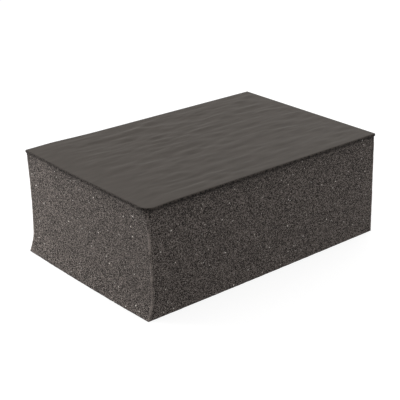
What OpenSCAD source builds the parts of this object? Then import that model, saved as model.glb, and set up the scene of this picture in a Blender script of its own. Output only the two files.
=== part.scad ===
// Detailing clay sponge: a hand-held block of fine foam with a thin sheet of polymer clay
// bonded over its whole top face. Millimetres, +Z up, +X along the block's length.
// The origin is the middle of the base that the block rests on.

/* [Foam block] */
// Length of the foam at the corners of its base
foam_l = 100.8; // [80:0.1:130]
// Width of the foam at the corners of its base
foam_w = 65.2; // [50:0.1:90]
// Height of the foam, from its base up to the clay
foam_h = 35.7; // [25:0.05:60]
// How far every side leans in on its way from the base up to the clay
foam_lean = 0.7; // [0:0.05:3]
// Radius of the foam's upright edges
foam_edge_r = 0.3; // [0.2:0.1:2]

/* [Hollow end and swollen base] */
// Depth of the hollow across the end that faces -X
hollow_depth = 1.6; // [0:0.1:4]
// Height of the hollow's deepest line above the base
hollow_z = 7; // [3:0.5:20]
// How far the middle of each end stands out past its corners, at the base
end_swell = 0.4; // [0:0.1:2]
// How far the middle of each long side stands out past its corners, at the base
side_swell = 0.15; // [0:0.05:2]

/* [Clay sheet] */
// Thickness of the clay sheet
sheet_t = 0.9; // [0.7:0.05:3]
// How far the sheet stands past the top of the foam, all round
sheet_overhang = 0.3; // [0.1:0.05:1]
// Radius of the sheet's rolled top rim
rim_r = 0.5; // [0.2:0.1:0.6]
// Plan radius of the sheet's three crisp corners
crisp_corner_r = 0.5; // [0.4:0.1:3]
// Plan radius of the worn corner, at -X and -Y
worn_corner_r = 3.5; // [2:0.5:8]
// Height over which the foam's edge under the worn corner turns from round to sharp
worn_blend_h = 4; // [2:0.5:20]

/* [Ripples of the clay] */
// Height of the tallest ripple
ripple_h = 0.15; // [0.02:0.01:0.3]
// Distance across a ripple from its crest to where it has all but gone
ripple_reach = 3.2; // [2:0.1:6]
// Width of the band along the sheet's rim over which the ripples fade out
ripple_margin = 5; // [2:0.5:12]

/* [Hidden] */

FOAM_COLOUR = "#57514D";
CLAY_COLOUR = "#4C4845";

// Size of the sheet, which follows the top of the foam
sheet_l = foam_l - 2 * foam_lean + 2 * sheet_overhang;
sheet_w = foam_w - 2 * foam_lean + 2 * sheet_overhang;

// Steps of the foam's mesh: along a corner's arc, along a side, and up the block
ARC_STEPS = 7;
SIDE_STEPS = 18;
LEVELS = 20;

// Steps of the sheet's grid: lines in each edge band, and columns and rows between the bands
EDGE_LINES = 8;
COLUMNS = 28;
ROWS = 50;

// The ripples, long low ridges that run along X. Each is its middle as shares of the sheet's
// length and width from the sheet's centre, its half length as a share of the length, its
// slant (the rise in Y for each unit of X) and its height as a share of ripple_h.
RIPPLES = [
    [-0.39, 0.11, 0.09, -0.02, 1.0],
    [-0.12, 0.19, 0.10, -0.06, 0.6],
    [-0.38, 0.21, 0.06, 0.00, 0.5],
    [-0.23, 0.30, 0.12, -0.02, 0.6],
    [-0.20, 0.00, 0.10, 0.00, 0.6],
    [0.08, 0.04, 0.12, 0.00, 1.0],
    [0.38, 0.02, 0.10, -0.02, 0.7],
    [0.11, 0.14, 0.08, 0.00, 0.8],
    [0.34, 0.14, 0.10, 0.00, 0.5],
    [-0.33, -0.08, 0.08, 0.00, 0.6],
    [0.04, -0.08, 0.07, 0.00, 0.5],
    [0.32, -0.06, 0.09, 0.00, 0.9],
    [-0.25, -0.17, 0.10, 0.00, 0.5],
    [0.06, -0.15, 0.08, 0.02, 1.0],
    [0.19, -0.12, 0.05, 0.03, 0.6],
    [0.28, -0.20, 0.07, -0.02, 0.9],
    [-0.33, -0.24, 0.07, 0.00, 0.5],
    [-0.09, -0.27, 0.10, 0.02, 0.5],
    [0.15, -0.27, 0.10, -0.04, 0.6],
    [-0.34, -0.36, 0.07, 0.00, 0.9],
    [0.00, -0.34, 0.08, 0.00, 0.5],
    [0.25, -0.37, 0.13, -0.05, 1.0],
    [0.03, 0.26, 0.07, 0.00, 0.6],
    [0.25, 0.24, 0.07, 0.00, 0.7],
    [0.37, 0.37, 0.11, 0.00, 0.7],
    [-0.12, 0.37, 0.07, 0.00, 0.4]
];

// The value a share t of the way from a to b
function mix(a, b, t) = a + (b - a) * t;

// A soft step from 0 at t = 0 to 1 at t = 1
function soft_step(t) = let (s = max(0, min(1, t))) s * s * (3 - 2 * s);

// The direction at an angle in the XY plane
function direction(angle) = [cos(angle), sin(angle)];

// How far a quarter circle of radius r falls short of its square corner, at distance d
// from the corner's edge
function corner_cut(d, r) = d >= r ? 0 : r - sqrt(r * r - (r - d) * (r - d));

// ---- foam block ----

// Share of the hollow's depth at height z: none at the base and at the clay, all at hollow_z
function hollow_share(z) = z < hollow_z
    ? sin(90 * z / hollow_z)
    : cos(90 * (z - hollow_z) / (foam_h - hollow_z));

// Radius of the foam's upright edge under the worn corner, at height z
function worn_edge_r(z) =
    mix(foam_edge_r, worn_corner_r - sheet_overhang, soft_step(1 - (foam_h - z) / worn_blend_h));

// One closed outline at height z, anticlockwise from the corner at -X and -Y: each corner's arc,
// then the side that follows it, which swells outwards in its middle
function foam_ring(z) = let (
    lean = foam_lean * z / foam_h,
    low = [-foam_l / 2 + lean + hollow_depth * hollow_share(z), -foam_w / 2 + lean],
    high = [foam_l / 2 - lean, foam_w / 2 - lean],
    swell = pow(1 - z / foam_h, 2),
    radii = [worn_edge_r(z), foam_edge_r, foam_edge_r, foam_edge_r],
    centres = [
        [low.x + radii[0], low.y + radii[0]],
        [high.x - radii[1], low.y + radii[1]],
        [high.x - radii[2], high.y - radii[2]],
        [low.x + radii[3], high.y - radii[3]]
    ]
) [
    for (c = [0:3])
        let (
            next = (c + 1) % 4,
            outward = direction(270 + 90 * c),
            side_swell_here = swell * (c % 2 == 0 ? side_swell : end_swell),
            side_start = centres[c] + radii[c] * outward,
            side_end = centres[next] + radii[next] * outward
        )
        each concat(
            [for (i = [0:ARC_STEPS])
                let (p = centres[c] + radii[c] * direction(180 + 90 * (c + i / ARC_STEPS)))
                [p.x, p.y, z]],
            [for (i = [1:SIDE_STEPS - 1])
                let (
                    t = i / SIDE_STEPS,
                    p = mix(side_start, side_end, t) + side_swell_here * 4 * t * (1 - t) * outward
                )
                [p.x, p.y, z]]
        )
];

// A solid through closed rings of n points each, stacked upwards, with a flat cap at both ends
// that fans out from the Z axis
module ring_stack(rings, n) {
    top = n * (len(rings) - 1);
    bottom_middle = n * len(rings);
    top_middle = bottom_middle + 1;
    walls = [
        for (k = [0:len(rings) - 2], i = [0:n - 1])
            let (a = k * n + i, b = k * n + (i + 1) % n)
            each [[a, a + n, b + n], [a, b + n, b]]
    ];
    caps = [
        for (i = [0:n - 1])
            let (next = (i + 1) % n)
            each [[bottom_middle, i, next], [top_middle, top + next, top + i]]
    ];
    middles = [for (ring = [rings[0], rings[len(rings) - 1]]) [0, 0, ring[0].z]];
    polyhedron(points = concat([for (ring = rings) each ring], middles), faces = concat(walls, caps));
}

// The cut block of foam: upright sides that lean in a little, a hollow across one end
module foam_block() {
    color(FOAM_COLOUR)
        ring_stack([for (k = [0:LEVELS]) foam_ring(foam_h * k / LEVELS)], 4 * (ARC_STEPS + SIDE_STEPS));
}

// ---- clay sheet ----

// Grid lines across a length: close together in the band along each edge, even between
function grid_lines(length, steps) = let (
    band = worn_corner_r,
    edge = [for (i = [0:EDGE_LINES]) band * pow(i / EDGE_LINES, 2)]
) concat(
    [for (d = edge) d],
    [for (i = [1:steps - 1]) mix(band, length - band, i / steps)],
    [for (i = [EDGE_LINES:-1:0]) length - edge[i]]
);

// The sheet's front and back limits in Y, at distance d from its -X end
function sheet_front(d) =
    -sheet_w / 2 + corner_cut(d, worn_corner_r) + corner_cut(sheet_l - d, crisp_corner_r);
function sheet_back(d) =
    sheet_w / 2 - corner_cut(d, crisp_corner_r) - corner_cut(sheet_l - d, crisp_corner_r);

// Height of one ripple at x and y: a bell across the ridge and a longer bell along it
function ripple(r, x, y) = let (
    along = (x - r[0] * sheet_l) / (r[2] * sheet_l),
    across = (y - r[1] * sheet_w - r[3] * (x - r[0] * sheet_l)) / (ripple_reach / 2)
) ripple_h * r[4] * exp(-along * along - across * across);

// Height of all ripples together at x and y
function ripple_sum(x, y, i = 0) =
    i == len(RIPPLES) ? 0 : ripple(RIPPLES[i], x, y) + ripple_sum(x, y, i + 1);

// One point of the sheet's top: the flat top, less the rolled rim, plus the ripples
function sheet_point(d, share) = let (
    front = sheet_front(d),
    back = sheet_back(d),
    x = d - sheet_l / 2,
    y = mix(front, back, share),
    from_edge = max(0, min(d, sheet_l - d, y - front, back - y)),
    ripples = ripple_sum(x, y) * soft_step(from_edge / ripple_margin)
) [x, y, foam_h + sheet_t - corner_cut(from_edge, rim_r) + ripples];

// The bonded sheet: a flat underside on the foam, upright edges, a rolled rim and a rippled top
module clay_sheet() {
    columns = grid_lines(sheet_l, COLUMNS);
    rows = grid_lines(sheet_w, ROWS);
    nx = len(columns);
    ny = len(rows);
    top = [for (d = columns, s = rows) sheet_point(d, s / sheet_w)];
    // the top's border, anticlockwise from the corner at -X and -Y
    border = concat(
        [for (i = [0:nx - 2]) i * ny],
        [for (j = [0:ny - 2]) (nx - 1) * ny + j],
        [for (i = [nx - 1:-1:1]) i * ny + ny - 1],
        [for (j = [ny - 1:-1:1]) j]
    );
    n = len(border);
    underside = [for (k = border) [top[k].x, top[k].y, foam_h]];
    top_faces = [
        for (i = [0:nx - 2], j = [0:ny - 2])
            let (a = i * ny + j, b = a + ny)
            each [[a, a + 1, b + 1], [a, b + 1, b]]
    ];
    wall_faces = [
        for (k = [0:n - 1])
            let (next = (k + 1) % n, a = nx * ny + k, b = nx * ny + next)
            each [[a, border[k], border[next]], [a, border[next], b]]
    ];
    // the underside fans out from its middle
    underside_faces = [
        for (k = [0:n - 1]) [nx * ny + n, nx * ny + k, nx * ny + (k + 1) % n]
    ];
    color(CLAY_COLOUR)
        polyhedron(
            points = concat(top, underside, [[0, 0, foam_h]]),
            faces = concat(top_faces, wall_faces, underside_faces)
        );
}

foam_block();
clay_sheet();
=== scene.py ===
"""Detailing clay sponge: the looks of its foam block and its clay sheet.

The block is cut polyurethane foam with fine open cells. A thin sheet of polymer clay is bonded
over its top. Both are built here as dense surfaces in the frame's own axes: +X along the block,
+Z up, with the origin in the middle of the base. The classes of the two pieces work in
millimetres, which mesh_piece turns to metres, and the studio works in metres.
"""
from __future__ import annotations

import logging
import math
from dataclasses import dataclass, field
from enum import IntEnum
from typing import Any, NamedTuple

import bpy
import numpy as np
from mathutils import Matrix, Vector

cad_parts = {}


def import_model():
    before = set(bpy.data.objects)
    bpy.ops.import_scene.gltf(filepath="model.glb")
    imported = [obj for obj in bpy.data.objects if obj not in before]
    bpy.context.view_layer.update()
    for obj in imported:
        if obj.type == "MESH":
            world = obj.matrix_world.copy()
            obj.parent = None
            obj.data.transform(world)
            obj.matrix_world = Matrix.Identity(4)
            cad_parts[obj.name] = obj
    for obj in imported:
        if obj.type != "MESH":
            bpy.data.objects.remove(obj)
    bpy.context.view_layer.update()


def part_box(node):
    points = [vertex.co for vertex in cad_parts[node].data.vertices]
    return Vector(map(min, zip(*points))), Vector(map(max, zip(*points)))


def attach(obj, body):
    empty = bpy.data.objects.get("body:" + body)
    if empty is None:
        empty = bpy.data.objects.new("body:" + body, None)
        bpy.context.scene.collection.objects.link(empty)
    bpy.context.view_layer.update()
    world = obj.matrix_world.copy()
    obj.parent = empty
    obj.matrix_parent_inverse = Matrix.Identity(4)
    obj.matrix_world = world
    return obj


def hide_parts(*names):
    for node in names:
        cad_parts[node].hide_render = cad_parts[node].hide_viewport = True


LOG = logging.getLogger("clay_sponge")
MM = 0.001


class Corner(IntEnum):
    """The block's four upright edges, anticlockwise seen from above. Front is -Y, right is +X."""

    WORN_FRONT_LEFT = 0
    FRONT_RIGHT = 1
    BACK_RIGHT = 2
    BACK_LEFT = 3


class Seed(IntEnum):
    """Seeds of the random draws, one for each use."""

    CUT_CELLS = 11
    BLADE_WAVER = 12
    SOAKED_BOND = 13
    FRAYED_PATCHES = 14
    STREAK_SWAY = 21
    STREAKS = 22
    FINE_STREAKS = 23
    TRIMMED_FOOT = 24


# ---- shared helpers ----


def linear(hex_colour: str) -> tuple[float, float, float, float]:
    """Turn an sRGB hex colour into the linear colour that Blender's sockets take.

    Each channel c from 0 to 1 becomes c / 12.92 where it is 0.04045 or less, and otherwise
    ((c + 0.055) / 1.055) to the power 2.4.

    Args:
        hex_colour: A colour such as "#57514D".

    Returns:
        Red, green and blue in linear light, and an alpha of 1.
    """
    channels = [int(hex_colour[i : i + 2], 16) / 255 for i in (1, 3, 5)]
    red, green, blue = (
        c / 12.92 if c <= 0.04045 else ((c + 0.055) / 1.055) ** 2.4 for c in channels
    )
    return red, green, blue, 1.0


def soft_step(t: np.ndarray) -> np.ndarray:
    """Ease from 0 at t = 0 to 1 at t = 1: three t squared less two t cubed, held outside."""
    held = np.clip(t, 0, 1)
    return held * held * (3 - 2 * held)


def corner_cut(distance: np.ndarray, radius: float) -> np.ndarray:
    """Work out how far a quarter circle falls short of its square corner.

    The radius less the root of (radius squared less (radius less distance) squared), and 0 from
    the radius on.

    Args:
        distance: Distance from the corner's edge.
        radius: The quarter circle's radius, in the same unit.

    Returns:
        The shortfall, in the same unit.
    """
    inside = radius - np.clip(distance, 0, radius)
    return radius - np.sqrt(radius**2 - inside**2)


def lattice_noise(u: np.ndarray, v: np.ndarray, seed: Seed) -> np.ndarray:
    """Noise with no steps: random values on a square lattice, blended by soft steps.

    Args:
        u: First coordinate of each point, counted in lattice cells.
        v: Second coordinate of each point, of a shape that fits the first.
        seed: Seed of the lattice's values.

    Returns:
        Values from -1 to 1, one for each point.
    """
    u, v = np.broadcast_arrays(u - np.min(u), v - np.min(v))
    i, j = u.astype(int), v.astype(int)
    lattice = np.random.default_rng(seed).uniform(-1, 1, (i.max() + 2, j.max() + 2))
    s, t = soft_step(u - i), soft_step(v - j)
    low = lattice[i, j] * (1 - s) + lattice[i + 1, j] * s
    high = lattice[i, j + 1] * (1 - s) + lattice[i + 1, j + 1] * s
    return low * (1 - t) + high * t


def add_node(
    tree: bpy.types.NodeTree,
    kind: str,
    inputs: dict[str | int, Any] | None = None,
    **settings: Any,
) -> bpy.types.Node:
    """Add one node with its settings, its values and its links.

    Args:
        tree: The node tree that takes the node.
        kind: The node's type, without the leading "ShaderNode".
        inputs: A value or a socket to link from, for each input by name or number.
        settings: The node's own properties.

    Returns:
        The new node.
    """
    node = tree.nodes.new("ShaderNode" + kind)
    for name, value in settings.items():
        setattr(node, name, value)
    for socket, value in (inputs or {}).items():
        if isinstance(value, bpy.types.NodeSocket):
            tree.links.new(value, node.inputs[socket])
        else:
            node.inputs[socket].default_value = value
    return node


def seen_directly(tree: bpy.types.NodeTree) -> bpy.types.NodeSocket:
    """Add the test of whether a surface is seen by the camera, in a gloss or through glass.

    Args:
        tree: The material's or the world's node tree.

    Returns:
        1 for a camera, glossy or transmission ray, and 0 for the rays that light other surfaces.
    """
    path = add_node(tree, "LightPath")
    seen = path.outputs["Is Camera Ray"]
    for ray in ("Is Glossy Ray", "Is Transmission Ray"):
        either = add_node(tree, "Math", {0: seen, 1: path.outputs[ray]}, operation="MAXIMUM")
        seen = either.outputs["Value"]
    return seen


def new_material(name: str) -> tuple[bpy.types.Material, bpy.types.NodeTree]:
    """Make an empty node material.

    Args:
        name: The material's name.

    Returns:
        The material and its node tree.
    """
    material = bpy.data.materials.new(name)
    material.use_nodes = True
    material.node_tree.nodes.clear()
    return material, material.node_tree


def fan(tip: int, starts: np.ndarray, ends: np.ndarray) -> np.ndarray:
    """Triangles from one tip to each edge of a border, which runs from a start to an end."""
    return np.stack([np.full(len(starts), tip), starts, ends], -1)


def stacked_rings(rings: int, around: int) -> list[list[int]]:
    """Join a stack of rings to a closed surface, with a fan to a tip at each end.

    The rings' points come first, ring by ring and anticlockwise seen from above. The low tip
    follows them, and then the high one. Each quad joins two neighbours in a ring to the two above.

    Args:
        rings: Number of rings, from the middle of the base up the wall.
        around: Number of points in each ring.

    Returns:
        The faces, anticlockwise seen from outside.
    """
    k, i = np.meshgrid(np.arange(rings - 1), np.arange(around), indexing="ij")
    here, following = k * around + i, k * around + (i + 1) % around
    quads = np.stack([here, following, following + around, here + around], -1).reshape(-1, 4)
    first = np.arange(around)
    first_following = np.roll(first, -1)
    last, last_following = (rings - 1) * around + first, (rings - 1) * around + first_following
    low_fan = fan(rings * around, first_following, first)
    high_fan = fan(rings * around + 1, last, last_following)
    return quads.tolist() + low_fan.tolist() + high_fan.tolist()


def mesh_piece(name: str, points: np.ndarray, faces: list[list[int]]) -> bpy.types.Object:
    """Make one smooth-shaded piece at the origin from its points and faces.

    Args:
        name: The piece's name.
        points: Rows of x, y and z in millimetres.
        faces: Rows of point numbers, anticlockwise seen from outside.

    Returns:
        The new object, linked to the scene.
    """
    mesh = bpy.data.meshes.new(name)
    mesh.from_pydata((points * MM).tolist(), [], faces)
    mesh.update()
    mesh.polygons.foreach_set("use_smooth", np.ones(len(mesh.polygons), bool))
    piece = bpy.data.objects.new(name, mesh)
    bpy.context.scene.collection.objects.link(piece)
    return piece


def store_attribute(piece: bpy.types.Object, name: str, values: np.ndarray) -> None:
    """Keep one number for each point of a piece, for its material to read.

    Args:
        piece: The piece.
        name: The attribute's name.
        values: One value for each point.
    """
    attribute = piece.data.attributes.new(name, "FLOAT", "POINT")
    attribute.data.foreach_set("value", values.astype(np.float32).ravel())


# ---- finishes ----


@dataclass(frozen=True)
class FoamFinish:
    """Dark grey polyurethane foam, cut with a blade through its fine open cells.

    The cut gives the eye a matt, even grain: each open cell has a darkness of its own, with
    painted shade in the pore's middle, ringed by lighter struts. Here and there a cell wall lies
    flat to the light, and its glint is a painted highlight. The cut's upright edges carry a thin
    painted highlight, a little lighter. Under the clay the foam is dark and ragged, which is
    painted shade under the clay's edge. The cells are drawn as coarse as they need to be to show,
    and the real ones may be finer.
    """

    # the pore's colour is painted shade in the hollow of an open cell
    pore_shade_colour: str = "#1A1716"
    strut_colour: str = "#A79C95"
    # painted highlight: the colour of a glinting cell wall
    glint_colour: str = "#FFF8F0"
    # painted shade under the clay's edge
    clay_shade_colour: str = "#2B2826"
    roughness: float = 0.95
    specular: float = 0.2
    cell_mm: float = 0.17
    pore_bump_mm: float = 0.05
    bump_strength: float = 0.5
    # how light a cell is: the weight of its own random value, the reach of its rim in cells and
    # the rim's weight, which leaves the cell's middle in painted shade, then the sums of the two
    # that are darkest and lightest
    own_weight: float = 0.85
    rim_reach: float = 0.8
    rim_weight: float = 0.25
    darkest_sum: float = 0.56
    lightest_sum: float = 1.04
    # painted glints, highlights in the base colour: width of a flat cell wall, the share of them
    # that glints, and how many times more of them glint at all than glint in full
    flake_mm: float = 0.3
    glint_share: float = 0.0025
    glint_spread: float = 3.0
    # how much of a full strut's lightness the painted highlight along the upright edges adds
    edge_highlight_lift: float = 0.65

    def grain(self, tree: bpy.types.NodeTree, place: bpy.types.NodeSocket) -> bpy.types.NodeSocket:
        """Add the cells and work out how light each point of the cut is.

        Each cell's own random value times its weight, plus a rim that grows with the distance
        from the cell's middle, which leaves the middle in painted shade. The darkest and the
        lightest sum are stretched to 0 and 1.

        Args:
            tree: The material's node tree.
            place: The place on the piece.

        Returns:
            The lightness, from 0 in a pore's painted shade to 1 on a strut.
        """
        cells = add_node(tree, "TexVoronoi", {"Vector": place, "Scale": 1 / (self.cell_mm * MM)})
        own = add_node(tree, "SeparateColor", {"Color": cells.outputs["Color"]})
        rim = add_node(
            tree,
            "MapRange",
            {
                "Value": cells.outputs["Distance"],
                "From Max": self.rim_reach,
                "To Max": self.rim_weight,
            },
        )
        total = add_node(
            tree,
            "Math",
            {0: own.outputs["Red"], 1: self.own_weight, 2: rim.outputs["Result"]},
            operation="MULTIPLY_ADD",
        )
        light = add_node(
            tree,
            "MapRange",
            {
                "Value": total.outputs["Value"],
                "From Min": self.darkest_sum,
                "From Max": self.lightest_sum,
            },
        )
        return light.outputs["Result"]

    def glints(self, tree: bpy.types.NodeTree, place: bpy.types.NodeSocket) -> bpy.types.NodeSocket:
        """Add the flat cell walls' glints, painted highlights, a few in a thousand.

        Args:
            tree: The material's node tree.
            place: The place on the piece.

        Returns:
            The glint's strength, from 0 to 1.
        """
        flakes = add_node(tree, "TexVoronoi", {"Vector": place, "Scale": 1 / (self.flake_mm * MM)})
        own = add_node(tree, "SeparateColor", {"Color": flakes.outputs["Color"]})
        strength = add_node(
            tree,
            "MapRange",
            {
                "Value": own.outputs["Green"],
                "From Min": 1 - self.glint_share,
                "From Max": 1 - self.glint_share / self.glint_spread,
            },
        )
        return strength.outputs["Result"]

    def material(self) -> bpy.types.Material:
        """Build the foam's material.

        Returns:
            The material, which reads the piece's attributes of the painted highlight along the
            upright edges and of the painted shade under the clay.
        """
        material, tree = new_material("polyurethane_foam_cut")
        place = add_node(tree, "TexCoord").outputs["Object"]
        light = self.grain(tree, place)
        # painted highlight along the upright edges, from the edge attribute, lifts the lightness
        edge = add_node(tree, "Attribute", attribute_name="edge")
        lifted = add_node(
            tree,
            "Math",
            {0: edge.outputs["Fac"], 1: self.edge_highlight_lift, 2: light},
            operation="MULTIPLY_ADD",
        )
        body = add_node(
            tree,
            "Mix",
            {
                "Factor": lifted.outputs["Value"],
                "A": linear(self.pore_shade_colour),
                "B": linear(self.strut_colour),
            },
            data_type="RGBA",
        )
        # painted shade under the clay's edge, from the piece's attribute, darkens the foam
        clay_shade = add_node(tree, "Attribute", attribute_name="clay_shade")
        clay_shaded = add_node(
            tree,
            "Mix",
            {
                "Factor": clay_shade.outputs["Fac"],
                "A": body.outputs["Result"],
                "B": linear(self.clay_shade_colour),
            },
            data_type="RGBA",
        )
        # painted glints, highlights put into the base colour
        colour = add_node(
            tree,
            "Mix",
            {
                "Factor": self.glints(tree, place),
                "A": clay_shaded.outputs["Result"],
                "B": linear(self.glint_colour),
            },
            data_type="RGBA",
        )
        bump = add_node(
            tree,
            "Bump",
            {
                "Height": light,
                "Distance": self.pore_bump_mm * MM,
                "Strength": self.bump_strength,
            },
        )
        shader = add_node(
            tree,
            "BsdfPrincipled",
            {
                "Base Color": colour.outputs["Result"],
                "Roughness": self.roughness,
                "Specular IOR Level": self.specular,
                "Normal": bump.outputs["Normal"],
            },
        )
        add_node(tree, "OutputMaterial", {"Surface": shader.outputs["BSDF"]})
        return material


@dataclass(frozen=True)
class ClayFinish:
    """Rubbery polymer clay, pressed to a thin sheet and trimmed.

    The press leaves the top smooth and a little greasy, which gives the eye a dark grey satin
    with faint smears along the sheet and a very fine grain. The top's colour has that satin sheen
    painted in, and the trimmed edge is a darker copy of the same clay in painted shade. The edge
    is torn as much as cut, so it is dull, with dark scuffs.
    """

    # the top's colour holds a painted sheen, and the wall's is the same clay in painted shade
    top_colour_with_sheen: str = "#58524D"
    smear_colour: str = "#46413C"
    shaded_wall_colour: str = "#47413D"
    scuff_colour: str = "#141211"
    top_roughness: float = 0.66
    wall_roughness: float = 0.9
    specular: float = 0.15
    # the top: its grain, and its smears' length, width and height
    grain_mm: float = 0.7
    grain_bump_mm: float = 0.02
    grain_detail: float = 2.0
    bump_strength: float = 0.3
    smear_mm: tuple[float, float, float] = (7.0, 1.6, 1.6)
    smear_detail: float = 2.0
    # the edge: its scuffs, and the noise values where a scuff starts and is full
    scuff_mm: float = 0.5
    scuff_detail: float = 1.0
    scuff_start: float = 0.45
    scuff_full: float = 0.6

    def pressed_top(
        self, tree: bpy.types.NodeTree, place: bpy.types.NodeSocket
    ) -> bpy.types.NodeSocket:
        """Add the top's colour, with its painted sheen: noise that is long along the sheet mixes in
        the smears.

        Args:
            tree: The material's node tree.
            place: The place on the piece.

        Returns:
            The colour.
        """
        sizes = tuple(1 / (size * MM) for size in self.smear_mm)
        along = add_node(tree, "Mapping", {"Vector": place, "Scale": sizes})
        smears = add_node(
            tree,
            "TexNoise",
            {"Vector": along.outputs["Vector"], "Scale": 1.0, "Detail": self.smear_detail},
        )
        top = add_node(
            tree,
            "Mix",
            {
                "Factor": smears.outputs["Fac"],
                "A": linear(self.top_colour_with_sheen),
                "B": linear(self.smear_colour),
            },
            data_type="RGBA",
        )
        return top.outputs["Result"]

    def trimmed_side(
        self, tree: bpy.types.NodeTree, place: bpy.types.NodeSocket
    ) -> bpy.types.NodeSocket:
        """Add the trimmed edge's colour, the clay in painted shade: the higher parts of a fine
        noise are the scuffs.

        Args:
            tree: The material's node tree.
            place: The place on the piece.

        Returns:
            The colour.
        """
        scuffs = add_node(
            tree,
            "TexNoise",
            {"Vector": place, "Scale": 1 / (self.scuff_mm * MM), "Detail": self.scuff_detail},
        )
        scuffed = add_node(
            tree,
            "MapRange",
            {
                "Value": scuffs.outputs["Fac"],
                "From Min": self.scuff_start,
                "From Max": self.scuff_full,
            },
        )
        side = add_node(
            tree,
            "Mix",
            {
                "Factor": scuffed.outputs["Result"],
                "A": linear(self.shaded_wall_colour),
                "B": linear(self.scuff_colour),
            },
            data_type="RGBA",
        )
        return side.outputs["Result"]

    def material(self) -> bpy.types.Material:
        """Build the clay's material.

        Returns:
            The material, which reads the piece's "wall" attribute for the edge's painted shade and
            roughness.
        """
        material, tree = new_material("polymer_clay_pressed")
        place = add_node(tree, "TexCoord").outputs["Object"]
        # the wall attribute mixes the top, with its painted sheen, into the painted shade of the
        # edge
        wall = add_node(tree, "Attribute", attribute_name="wall")
        colour = add_node(
            tree,
            "Mix",
            {
                "Factor": wall.outputs["Fac"],
                "A": self.pressed_top(tree, place),
                "B": self.trimmed_side(tree, place),
            },
            data_type="RGBA",
        )
        grain = add_node(
            tree,
            "TexNoise",
            {"Vector": place, "Scale": 1 / (self.grain_mm * MM), "Detail": self.grain_detail},
        )
        bump = add_node(
            tree,
            "Bump",
            {
                "Height": grain.outputs["Fac"],
                "Distance": self.grain_bump_mm * MM,
                "Strength": self.bump_strength,
            },
        )
        roughness = add_node(
            tree,
            "MapRange",
            {
                "Value": wall.outputs["Fac"],
                "To Min": self.top_roughness,
                "To Max": self.wall_roughness,
            },
        )
        shader = add_node(
            tree,
            "BsdfPrincipled",
            {
                "Base Color": colour.outputs["Result"],
                "Roughness": roughness.outputs["Result"],
                "Specular IOR Level": self.specular,
                "Normal": bump.outputs["Normal"],
            },
        )
        add_node(tree, "OutputMaterial", {"Surface": shader.outputs["BSDF"]})
        return material


@dataclass(frozen=True)
class FloorFinish:
    """White paper sweep: matt, shown white, and it keeps the block's soft shadow.

    Its own colour is a grey, so that it throws little light back at the block.
    """

    colour: str = "#A0A0A0"
    camera_lift: float = 0.8

    def material(self) -> bpy.types.Material:
        """Build the floor's material: a matt grey, lifted to white where the camera sees it.

        Returns:
            The material.
        """
        material, tree = new_material("paper_sweep")
        matt = add_node(tree, "BsdfDiffuse", {"Color": linear(self.colour)})
        lift = add_node(
            tree, "Math", {0: seen_directly(tree), 1: self.camera_lift}, operation="MULTIPLY"
        )
        glow = add_node(tree, "Emission", {"Strength": lift.outputs["Value"]})
        both = add_node(tree, "AddShader", {0: matt.outputs["BSDF"], 1: glow.outputs["Emission"]})
        add_node(tree, "OutputMaterial", {"Surface": both.outputs["Shader"]})
        return material


# ---- the foam block ----


@dataclass(frozen=True)
class Curl:
    """The back corner of the hollow end, which stands up a little. Sizes are in millimetres."""

    rise: float = 0.5
    reach: float = 30.0

    def lift(self, x: np.ndarray, y: np.ndarray, corner: tuple[float, float]) -> np.ndarray:
        """Work out how far the block's top stands up at a place.

        By the full rise at the corner, easing by a soft step to nothing at the reach.

        Args:
            x: Places along the block.
            y: Places across the block, of the same shape.
            corner: The corner that stands up.

        Returns:
            Rises, of the same shape.
        """
        return self.rise * soft_step(1 - np.hypot(x - corner[0], y - corner[1]) / self.reach)


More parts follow.
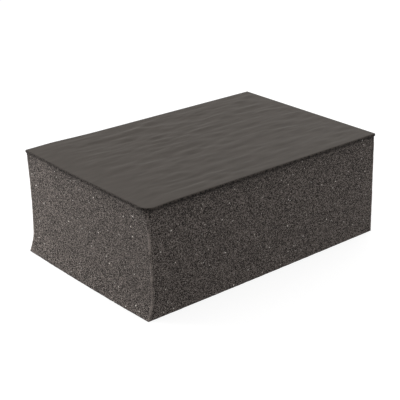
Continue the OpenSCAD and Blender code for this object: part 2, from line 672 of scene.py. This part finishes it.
@dataclass
class FoamBlock:
    """The cut block of foam. All sizes are in millimetres, and its base stands at height 0."""

    low: Vector
    high: Vector
    # the cut: the sides' lean, the plain edges, the hollow end and the swell of the base
    lean: float = 0.7
    edge_r: float = 0.3
    hollow_depth: float = 1.6
    hollow_z: float = 7.0
    end_swell: float = 0.4
    side_swell: float = 0.15
    # the worn edge: its radius under the clay, and the height over which it rounds off
    worn_r: float = 3.2
    worn_blend_h: float = 4.0
    # the mesh: distance between points, steps in each corner's arc, rings across the base
    spacing: float = 0.45
    arc_steps: int = 10
    base_rings: int = 24
    # the rough face: height of the cut cells and of the blade's waver, the waver's cell in mesh
    # steps, and the height under the clay over which both fade out
    roughness: float = 0.02
    waviness: float = 0.04
    waver_cell: float = 4.0
    smooth_h: float = 1.0
    # painted highlight along the upright edges: half its width, and the height of one patch of it
    highlight_band: float = 0.35
    highlight_patch_h: float = 1.5
    # painted shade under the clay: height of its ragged dark line and how ragged it is, then the
    # reach and the strength of the fainter painted shade below it
    shade_line_band: float = 0.6
    shade_raggedness: float = 0.9
    shade_reach: float = 3.0
    shade_strength: float = 0.38
    curl: Curl = field(default_factory=Curl)
    finish: FoamFinish = field(default_factory=FoamFinish)

    def hollow_share(self, z: np.ndarray) -> np.ndarray:
        """Share of the hollow's depth at height z.

        A quarter sine from the base up to the deepest line, then a quarter cosine up to the clay.

        Args:
            z: Heights above the base.

        Returns:
            Shares from 0 to 1.
        """
        below = np.sin(np.pi / 2 * z / self.hollow_z)
        above = np.cos(np.pi / 2 * (z - self.hollow_z) / (self.high.z - self.hollow_z))
        return np.where(z < self.hollow_z, below, above)

    def corners(self, z: np.ndarray) -> tuple[dict[Corner, np.ndarray], dict[Corner, np.ndarray]]:
        """Radii and centres of the four corners' arcs at heights z.

        The sides lean in evenly with the height, and the left end goes in by the hollow too. The
        worn corner eases by a soft step from the plain radius to its own, up to the clay.

        Args:
            z: Heights, one for each ring.

        Returns:
            For each corner its radii (rings) and its centres (rings, 2).
        """
        lean = self.lean * z / self.high.z
        left = self.low.x + self.end_swell + lean + self.hollow_depth * self.hollow_share(z)
        right = self.high.x - self.end_swell - lean
        front = self.low.y + self.side_swell + lean
        back = self.high.y - self.side_swell - lean
        rounded = soft_step(1 - (self.high.z - z) / self.worn_blend_h)
        worn = self.edge_r + (self.worn_r - self.edge_r) * rounded
        plain = np.full_like(z, self.edge_r)
        radii = dict.fromkeys(Corner, plain) | {Corner.WORN_FRONT_LEFT: worn}
        centres = {
            Corner.WORN_FRONT_LEFT: np.stack([left + worn, front + worn], -1),
            Corner.FRONT_RIGHT: np.stack([right - plain, front + plain], -1),
            Corner.BACK_RIGHT: np.stack([right - plain, back - plain], -1),
            Corner.BACK_LEFT: np.stack([left + plain, back - plain], -1),
        }
        return radii, centres

    def outline(self, z: np.ndarray) -> tuple[np.ndarray, np.ndarray, np.ndarray]:
        """The block's outlines at heights z, anticlockwise from the worn corner.

        Each corner is an arc round its centre. The side that follows it runs straight to the next
        arc, and swells outwards by a parabola that shrinks as the square of the height left up to
        the clay. A point's distance to an upright edge is measured along the outline, from the
        middle of the arc.

        Args:
            z: Heights, one for each ring.

        Returns:
            Points (rings, ring points, 3), outward directions of the same shape, and each
            point's distance to the nearest upright edge (rings, ring points).
        """
        radii, centres = self.corners(z)
        swell = (1 - z / self.high.z) ** 2
        points, normals, edges = [], [], []
        for corner in Corner:
            # the corner's arc
            turn = math.pi * (1 + corner / 2)
            arc = turn + np.linspace(0, math.pi / 2, self.arc_steps + 1)
            ray = np.stack([np.cos(arc), np.sin(arc)], -1)
            points.append(centres[corner][:, None] + radii[corner][:, None, None] * ray)
            normals.append(np.broadcast_to(ray, points[-1].shape))
            from_middle = np.abs(np.linspace(-1, 1, self.arc_steps + 1)) * math.pi / 4
            edges.append(radii[corner][:, None] * from_middle)
            # the side that follows it
            after = Corner((corner + 1) % len(Corner))
            outward = ray[-1]
            start = centres[corner] + radii[corner][:, None] * outward
            end = centres[after] + radii[after][:, None] * outward
            length = float(np.linalg.norm(end - start, axis=1).mean())
            t = np.linspace(0, 1, int(length / self.spacing) + 1)[1:-1]
            along_x = corner in (Corner.WORN_FRONT_LEFT, Corner.BACK_RIGHT)
            most = self.side_swell if along_x else self.end_swell
            bulge = most * swell[:, None] * 4 * t * (1 - t)
            side = start[:, None] + (end - start)[:, None] * t[None, :, None]
            points.append(side + bulge[..., None] * outward)
            normals.append(np.broadcast_to(outward, points[-1].shape))
            to_arc = length * np.minimum(t, 1 - t)
            nearest = np.where(t < 0.5, radii[corner][:, None], radii[after][:, None])
            edges.append(to_arc + nearest * math.pi / 4)
        flat = np.concatenate(points, axis=1)
        heights = np.broadcast_to(z[:, None, None], (*flat.shape[:2], 1))
        directions = np.concatenate(normals, axis=1)
        return (
            np.concatenate([flat, heights], -1),
            np.concatenate([directions, np.zeros_like(heights)], -1),
            np.concatenate(edges, axis=1),
        )

    def rough_wall(self, z: np.ndarray) -> tuple[np.ndarray, np.ndarray]:
        """The wall's rings at heights z, as the blade leaves them.

        Each point moves along its outward direction by white noise for the cut cells plus smooth
        noise for the blade's waver, and both fade out under the clay. The curl's lift grows with
        the square of the height.

        Args:
            z: Heights, one for each ring.

        Returns:
            Points (rings, ring points, 3) and each one's distance to the nearest upright edge.
        """
        wall, outward, edge_distance = self.outline(z)
        shape = wall.shape[:2]
        rough = np.random.default_rng(Seed.CUT_CELLS).normal(0, self.roughness, shape)
        rows, columns = np.indices(shape) / self.waver_cell
        wavy = self.waviness * lattice_noise(rows, columns, Seed.BLADE_WAVER)
        fade = np.minimum(1, (self.high.z - z) / self.smooth_h)[:, None]
        wall = wall + outward * ((rough + wavy) * fade)[..., None]
        lift = self.curl.lift(wall[..., 0], wall[..., 1], (self.low.x, self.high.y))
        wall[..., 2] = z[:, None] + lift * (z[:, None] / self.high.z) ** 2
        return wall, edge_distance

    def painted_edge_highlight(self, z: np.ndarray, edge_distance: np.ndarray) -> np.ndarray:
        """How strong the painted highlight along the upright edges is at each point of the wall.

        A bell across each upright edge, times smooth noise up the edge, times a soft step that
        fades it out towards the clay over the height where the worn edge rounds off.

        Args:
            z: Heights, one for each ring.
            edge_distance: Distances to the nearest upright edge (rings, ring points).

        Returns:
            Values from 0 to 1, of the same shape as the distances.
        """
        height = z[:, None]
        noise = lattice_noise(height / self.highlight_patch_h, 0 * edge_distance, Seed.FRAYED_PATCHES)
        patches = 0.5 + 0.5 * noise
        below_curve = soft_step((self.high.z - height) / self.worn_blend_h)
        return np.exp(-((edge_distance / self.highlight_band) ** 2)) * patches * below_curve

    def painted_clay_shade(self, z: np.ndarray, around: int) -> np.ndarray:
        """How much painted shade under the clay darkens each point of the wall.

        The greater of two: a line, half a bell down from the clay whose height is random from
        point to point, and a fainter painted shade below it that falls off exponentially.

        Args:
            z: Heights, one for each ring.
            around: Number of points in each ring.

        Returns:
            Values from 0 to 1 (rings, ring points).
        """
        under_clay = (self.high.z - z)[:, None]
        draws = np.random.default_rng(Seed.SOAKED_BOND).uniform(-1, 1, (len(z), around))
        ragged = 1 + self.shade_raggedness * draws
        line = np.exp(-((under_clay / (self.shade_line_band * ragged)) ** 2))
        return np.maximum(line, self.shade_strength * np.exp(-under_clay / self.shade_reach))

    def build(self) -> bpy.types.Object:
        """Build the foam as stacked rings with a rough cut face, a flat base and a flat top.

        The base's rings are the lowest outline, shrunk in even steps to the middle. A fan closes
        the base there, and another closes the top, which the clay covers.

        Returns:
            The foam piece.
        """
        levels = int(self.high.z / self.spacing)
        z = np.linspace(0, self.high.z, levels + 1)
        wall, edge_distance = self.rough_wall(z)
        around = wall.shape[1]
        scales = np.linspace(1, 0, self.base_rings + 1)[1:-1]
        base = wall[0][None] * np.stack([scales, scales, np.ones_like(scales)], -1)[:, None]
        tips = [[0, 0, 0], [0, 0, self.high.z]]
        points = np.concatenate([base[::-1].reshape(-1, 3), wall.reshape(-1, 3), tips])
        piece = mesh_piece("foam_body", points, stacked_rings(len(scales) + len(z), around))
        # the painted highlight along the upright edges, for the material
        painted_edge_highlight = self.painted_edge_highlight(z, edge_distance).ravel()
        # the painted shade under the clay, for the material
        painted_clay_shade = self.painted_clay_shade(z, around).ravel()
        on_base = np.zeros(len(scales) * around)
        store_attribute(piece, "edge", np.concatenate([on_base, painted_edge_highlight, [0, 0]]))
        store_attribute(piece, "clay_shade", np.concatenate([on_base, painted_clay_shade, [0, 1]]))
        piece.data.materials.append(self.finish.material())
        return piece


# ---- the clay sheet ----


class Ripple(NamedTuple):
    """One long, low ripple.

    Its middle is given as shares of the sheet's length and width from the sheet's own middle, and
    its half length as a share of the length. Its slant is the step across for each step along,
    and its height is a share of the highest ripple's.
    """

    middle_x: float
    middle_y: float
    half_length: float
    slant: float
    height_share: float


@dataclass
class ClaySheet:
    """The bonded sheet of polymer clay. All sizes are in millimetres."""

    low: Vector
    high: Vector
    thickness: float = 0.9
    # the border: the rim's roll and its dull band, which also takes the edge's painted shade, the
    # crisp corners and the worn one
    rim_r: float = 0.5
    dull_shaded_rim: float = 0.3
    crisp_r: float = 0.5
    worn_r: float = 3.5
    # the ripples: height, width across, and the band along the edge where they fade in
    ripple_h: float = 0.15
    ripple_reach: float = 3.2
    ripple_margin: float = 5.0
    # the press streaks: height, length and width of a noise cell, the rows' sway and the size of
    # its cell in streak cells, the weight of the fine layer, and the calm stretch at the -X end
    streak_h: float = 0.25
    streak_cell: tuple[float, float] = (8.0, 2.4)
    streak_sway: float = 1.2
    sway_cell: tuple[float, float] = (3.0, 5.0)
    fine_weight: float = 0.3
    calm_end: float = 20.0
    # the worn -X end: the share that it is thinner by, how far in, and how far its lip hangs
    end_thin: float = 0.35
    end_reach: float = 12.0
    end_lip: float = 0.25
    # the trimmed foot: how far it wavers up and down, and the width of one waver
    ragged_h: float = 0.36
    ragged_cell: float = 0.55
    # the mesh: lines in the band along each edge, and distances between the other lines
    edge_lines: int = 20
    spacing: tuple[float, float] = (0.42, 0.28)
    curl: Curl = field(default_factory=Curl)
    finish: ClayFinish = field(default_factory=ClayFinish)
    ripples: tuple[Ripple, ...] = (
        Ripple(-0.39, 0.11, 0.09, -0.02, 1.0),
        Ripple(-0.12, 0.19, 0.10, -0.06, 0.6),
        Ripple(-0.38, 0.21, 0.06, 0.00, 0.5),
        Ripple(-0.23, 0.30, 0.12, -0.02, 0.6),
        Ripple(-0.20, 0.00, 0.10, 0.00, 0.6),
        Ripple(0.08, 0.04, 0.12, 0.00, 1.0),
        Ripple(0.38, 0.02, 0.10, -0.02, 0.7),
        Ripple(0.11, 0.14, 0.08, 0.00, 0.8),
        Ripple(0.34, 0.14, 0.10, 0.00, 0.5),
        Ripple(-0.33, -0.08, 0.08, 0.00, 0.6),
        Ripple(0.04, -0.08, 0.07, 0.00, 0.5),
        Ripple(0.32, -0.06, 0.09, 0.00, 0.9),
        Ripple(-0.25, -0.17, 0.10, 0.00, 0.5),
        Ripple(0.06, -0.15, 0.08, 0.02, 1.0),
        Ripple(0.19, -0.12, 0.05, 0.03, 0.6),
        Ripple(0.28, -0.20, 0.07, -0.02, 0.9),
        Ripple(-0.33, -0.24, 0.07, 0.00, 0.5),
        Ripple(-0.09, -0.27, 0.10, 0.02, 0.5),
        Ripple(0.15, -0.27, 0.10, -0.04, 0.6),
        Ripple(-0.34, -0.36, 0.07, 0.00, 0.9),
        Ripple(0.00, -0.34, 0.08, 0.00, 0.5),
        Ripple(0.25, -0.37, 0.13, -0.05, 1.0),
        Ripple(0.03, 0.26, 0.07, 0.00, 0.6),
        Ripple(0.25, 0.24, 0.07, 0.00, 0.7),
        Ripple(0.37, 0.37, 0.11, 0.00, 0.7),
        Ripple(-0.12, 0.37, 0.07, 0.00, 0.4),
    )

    def grid_lines(self, length: float, spacing: float) -> np.ndarray:
        """Distances of grid lines across a length.

        In the band along each edge they stand at squares of even steps, so they are closest at
        the edge, and between the bands they are even.

        Args:
            length: The length to cross.
            spacing: Distance between lines away from the edges.

        Returns:
            Distances from 0 to the length.
        """
        edge = self.worn_r * np.linspace(0, 1, self.edge_lines + 1) ** 2
        steps = int((length - 2 * self.worn_r) / spacing)
        middle = np.linspace(self.worn_r, length - self.worn_r, steps + 1)[1:-1]
        return np.concatenate([edge, middle, length - edge[::-1]])

    def plan(
        self, columns: np.ndarray, rows: np.ndarray
    ) -> tuple[np.ndarray, np.ndarray, np.ndarray]:
        """The grid's points seen from above, and how far each lies from the sheet's edge.

        The grid is stretched between the sheet's front and back limits, which draw in at the
        corners by quarter circles.

        Args:
            columns: Distances of the grid lines from the -X end.
            rows: Distances of the grid lines from the front, before the stretch.

        Returns:
            Places along and across the sheet and distances from its edge, each (columns, rows).
        """
        length, width = columns[-1], rows[-1]
        near = columns[:, None]
        far = length - near
        front = -width / 2 + corner_cut(near, self.worn_r) + corner_cut(far, self.crisp_r)
        back = width / 2 - corner_cut(near, self.crisp_r) - corner_cut(far, self.crisp_r)
        x = np.broadcast_to(near - length / 2, (len(columns), len(rows)))
        y = front + (back - front) * rows[None, :] / width
        gaps = [x + length / 2, length / 2 - x, y - front, back - y]
        return x, y, np.maximum(0, np.minimum.reduce(gaps))

    def ripple_height(self, x: np.ndarray, y: np.ndarray) -> np.ndarray:
        """Height of all ripples together.

        Each ripple is a bell across its ridge times a longer bell along it.

        Args:
            x: Places along the sheet from its middle.
            y: Places across the sheet from its middle.

        Returns:
            Heights, of the same shape.
        """
        length, width = self.high.x - self.low.x, self.high.y - self.low.y
        middle_x, middle_y, half, slant, share = np.array(self.ripples).T
        along = x[..., None] - middle_x * length
        across = (y[..., None] - middle_y * width - slant * along) / (self.ripple_reach / 2)
        bells = np.exp(-((along / (half * length)) ** 2) - across**2)
        return self.ripple_h * (bells * share).sum(-1)

    def streak_height(self, x: np.ndarray, y: np.ndarray) -> np.ndarray:
        """Height of the fine streaks that the press leaves between the ripples.

        Two layers of noise, one half the size of the other, with cells that are long along X. A
        broad noise sways their rows forwards and back, and they fade out towards the -X end.

        Args:
            x: Places along the sheet from its middle.
            y: Places across the sheet from its middle.

        Returns:
            Heights, of the same shape.
        """
        long, wide = self.streak_cell
        sway_long, sway_wide = self.sway_cell[0] * long, self.sway_cell[1] * wide
        sway = lattice_noise(x / sway_long, y / sway_wide, Seed.STREAK_SWAY)
        swayed = y + self.streak_sway * sway
        coarse = lattice_noise(x / long, swayed / wide, Seed.STREAKS)
        fine = lattice_noise(2 * x / long, 2 * swayed / wide, Seed.FINE_STREAKS)
        calm = soft_step((x - self.low.x) / self.calm_end)
        return self.streak_h * calm * (coarse + self.fine_weight * fine)

    def trimmed_foot(self, rim: np.ndarray, bed: np.ndarray) -> np.ndarray:
        """The foot of the upright edge, which wavers up and down as a trimmed edge does.

        It lies under the rim, on the bed, plus smooth noise along the border's own length.

        Args:
            rim: Points round the border of the top, in order.
            bed: The foot's height under each of them, before it wavers.

        Returns:
            The foot's points, of the same shape as the rim's.
        """
        foot = rim.copy()
        steps = np.linalg.norm(np.diff(foot[:, :2], axis=0, prepend=foot[-1:, :2]), axis=1)
        along = np.cumsum(steps) / self.ragged_cell
        ragged = self.ragged_h * lattice_noise(along, np.zeros(1), Seed.TRIMMED_FOOT)
        foot[:, 2] = bed + ragged
        return foot

    def build(self) -> bpy.types.Object:
        """Build the sheet: a rippled top, a rolled rim, upright edges and a flat underside.

        The top's height over the foam is the thickness, less the rim's quarter circle, plus the
        ripples and streaks, which fade in from the edge by a soft step. It shrinks by a soft step
        towards the hollow end, where the sheet is worn thin and its lip hangs a hair lower.

        Returns:
            The clay piece.
        """
        columns = self.grid_lines(self.high.x - self.low.x, self.spacing[0])
        rows = self.grid_lines(self.high.y - self.low.y, self.spacing[1])
        x, y, from_edge = self.plan(columns, rows)
        relief = self.ripple_height(x, y) + self.streak_height(x, y)
        relief = relief * soft_step(from_edge / self.ripple_margin)
        bed = self.low.z + self.curl.lift(x, y, (self.low.x, self.high.y))
        worn = soft_step(1 - columns[:, None] / self.end_reach)
        thick = self.thickness - corner_cut(from_edge, self.rim_r) + relief
        z = bed + thick * (1 - self.end_thin * worn)
        top = np.stack([x, y, z], -1).reshape(-1, 3)

        # the border of the top, anticlockwise from the front left corner, and the foot below it
        numbers = np.arange(len(top)).reshape(x.shape)
        front, right = numbers[:-1, 0], numbers[-1, :-1]
        back, left = numbers[:0:-1, -1], numbers[0, :0:-1]
        border = np.concatenate([front, right, back, left])
        lip_bed = (bed - self.end_lip * worn).ravel()[border]
        foot = self.trimmed_foot(top[border], lip_bed)
        points = np.concatenate([top, foot, [[0, 0, self.low.z]]])

        # the top's quads, the upright edge's quads and the underside's fan
        a, b = numbers[:-1, :-1].ravel(), numbers[1:, :-1].ravel()
        quads = np.stack([a, b, b + 1, a + 1], -1)
        ring = len(top) + np.arange(len(border))
        following = np.roll(ring, -1)
        walls = np.stack([ring, following, np.roll(border, -1), border], -1)
        underside = fan(len(points) - 1, following, ring)
        piece = mesh_piece("clay_top", points, quads.tolist() + walls.tolist() + underside.tolist())
        # the dull band at the rim takes the edge's roughness and its painted shade
        dull = soft_step(1 - from_edge.ravel() / self.dull_shaded_rim)
        store_attribute(piece, "wall", np.concatenate([dull, np.ones(len(foot) + 1)]))
        piece.data.materials.append(self.finish.material())
        return piece


# ---- the studio ----


@dataclass(frozen=True)
class Softbox:
    """One square studio lamp. Lengths are in metres."""

    name: str
    place: tuple[float, float, float]
    size: float
    watts: float

    def build(self, aim: Vector) -> None:
        """Add the lamp, turned to face the aim.

        Args:
            aim: The point that the lamp faces.
        """
        lamp = bpy.data.lights.new(self.name, "AREA")
        lamp.shape = "SQUARE"
        lamp.size = self.size
        lamp.energy = self.watts
        holder = bpy.data.objects.new(self.name, lamp)
        holder.location = self.place
        holder.rotation_euler = (aim - Vector(self.place)).to_track_quat("-Z", "Y").to_euler()
        bpy.context.scene.collection.objects.link(holder)


@dataclass(frozen=True)
class Studio:
    """The floor, the lamps, the world's light and the camera.

    Lengths are in metres unless their name says millimetres, and turns are in degrees.
    """

    floor_size: float = 6.0
    floor_drop_mm: float = 0.02
    world_strength: float = 0.55
    # the camera: its turn round the block from the front, its rise and its distance, then where
    # it aims: a height on the block's upright axis, moved along the camera's own right and up
    azimuth: float = -40.843
    elevation: float = 22.982
    distance: float = 0.36705
    aim_height: float = 0.0183
    aim_right: float = -0.001375
    aim_up: float = -0.002776
    lens_mm: float = 96.622
    sensor_mm: float = 36.0
    clip_start: float = 0.01
    lamps: tuple[Softbox, ...] = (
        Softbox("lamp_left", (-0.18, 0.19, 0.08), 0.12, 0.52),
        Softbox("lamp_right", (0.35, -0.30, 0.12), 0.2, 0.34),
        Softbox("lamp_top", (0.30, 0.05, 0.33), 0.25, 0.38),
    )
    floor: FloorFinish = field(default_factory=FloorFinish)

    def build_floor(self) -> None:
        """Add the white floor, a hair under the block."""
        half, height = self.floor_size / 2, -self.floor_drop_mm * MM
        corners = [(-half, -half), (half, -half), (half, half), (-half, half)]
        mesh = bpy.data.meshes.new("floor")
        mesh.from_pydata([(x, y, height) for x, y in corners], [], [(0, 1, 2, 3)])
        floor = bpy.data.objects.new("floor", mesh)
        floor.data.materials.append(self.floor.material())
        bpy.context.scene.collection.objects.link(floor)

    def build_world(self) -> None:
        """Light the scene evenly, and show white to camera, glossy and transmission rays."""
        world = bpy.data.worlds.new("studio")
        world.use_nodes = True
        tree = world.node_tree
        tree.nodes.clear()
        strength = add_node(
            tree,
            "MapRange",
            {"Value": seen_directly(tree), "To Min": self.world_strength, "To Max": 1.0},
        )
        glow = add_node(
            tree,
            "Background",
            {"Color": linear("#FFFFFF"), "Strength": strength.outputs["Result"]},
        )
        add_node(tree, "OutputWorld", {"Surface": glow.outputs["Background"]})
        bpy.context.scene.world = world

    def build_camera(self) -> None:
        """Add the camera on its sphere round the block, aimed a little off the block's middle."""
        turn, rise = math.radians(self.azimuth), math.radians(self.elevation)
        flat = math.cos(rise)
        back = Vector((math.sin(turn) * flat, -math.cos(turn) * flat, math.sin(rise)))
        right = (-back).cross(Vector((0, 0, 1))).normalized()
        up = right.cross(-back)
        aim = Vector((0, 0, self.aim_height)) + right * self.aim_right + up * self.aim_up
        lens = bpy.data.cameras.new("camera")
        lens.lens = self.lens_mm
        lens.sensor_width = self.sensor_mm
        lens.clip_start = self.clip_start
        camera = bpy.data.objects.new("camera", lens)
        camera.location = aim + back * self.distance
        camera.rotation_euler = (-back).to_track_quat("-Z", "Y").to_euler()
        bpy.context.scene.collection.objects.link(camera)
        bpy.context.scene.camera = camera

    def build(self) -> None:
        """Build the whole studio."""
        self.build_camera()
        self.build_floor()
        self.build_world()
        for lamp in self.lamps:
            lamp.build(Vector((0, 0, self.aim_height)))
        bpy.context.scene.view_settings.view_transform = "Standard"


def node_box(node: str) -> tuple[Vector, Vector]:
    """A CAD node's lowest and highest corners, in millimetres."""
    low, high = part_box(node)
    return low / MM, high / MM


def main() -> None:
    """Build the studio and the two pieces around the frame."""
    logging.basicConfig(level=logging.INFO, format="%(message)s")
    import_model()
    Studio().build()

    foam = FoamBlock(*node_box("foam_block")).build()
    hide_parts("foam_block")
    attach(foam, "root")
    LOG.info("%s: %d faces", foam.name, len(foam.data.polygons))

    clay = ClaySheet(*node_box("clay_sheet")).build()
    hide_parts("clay_sheet")
    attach(clay, "root")
    LOG.info("%s: %d faces", clay.name, len(clay.data.polygons))


if __name__ == "__main__":
    main()
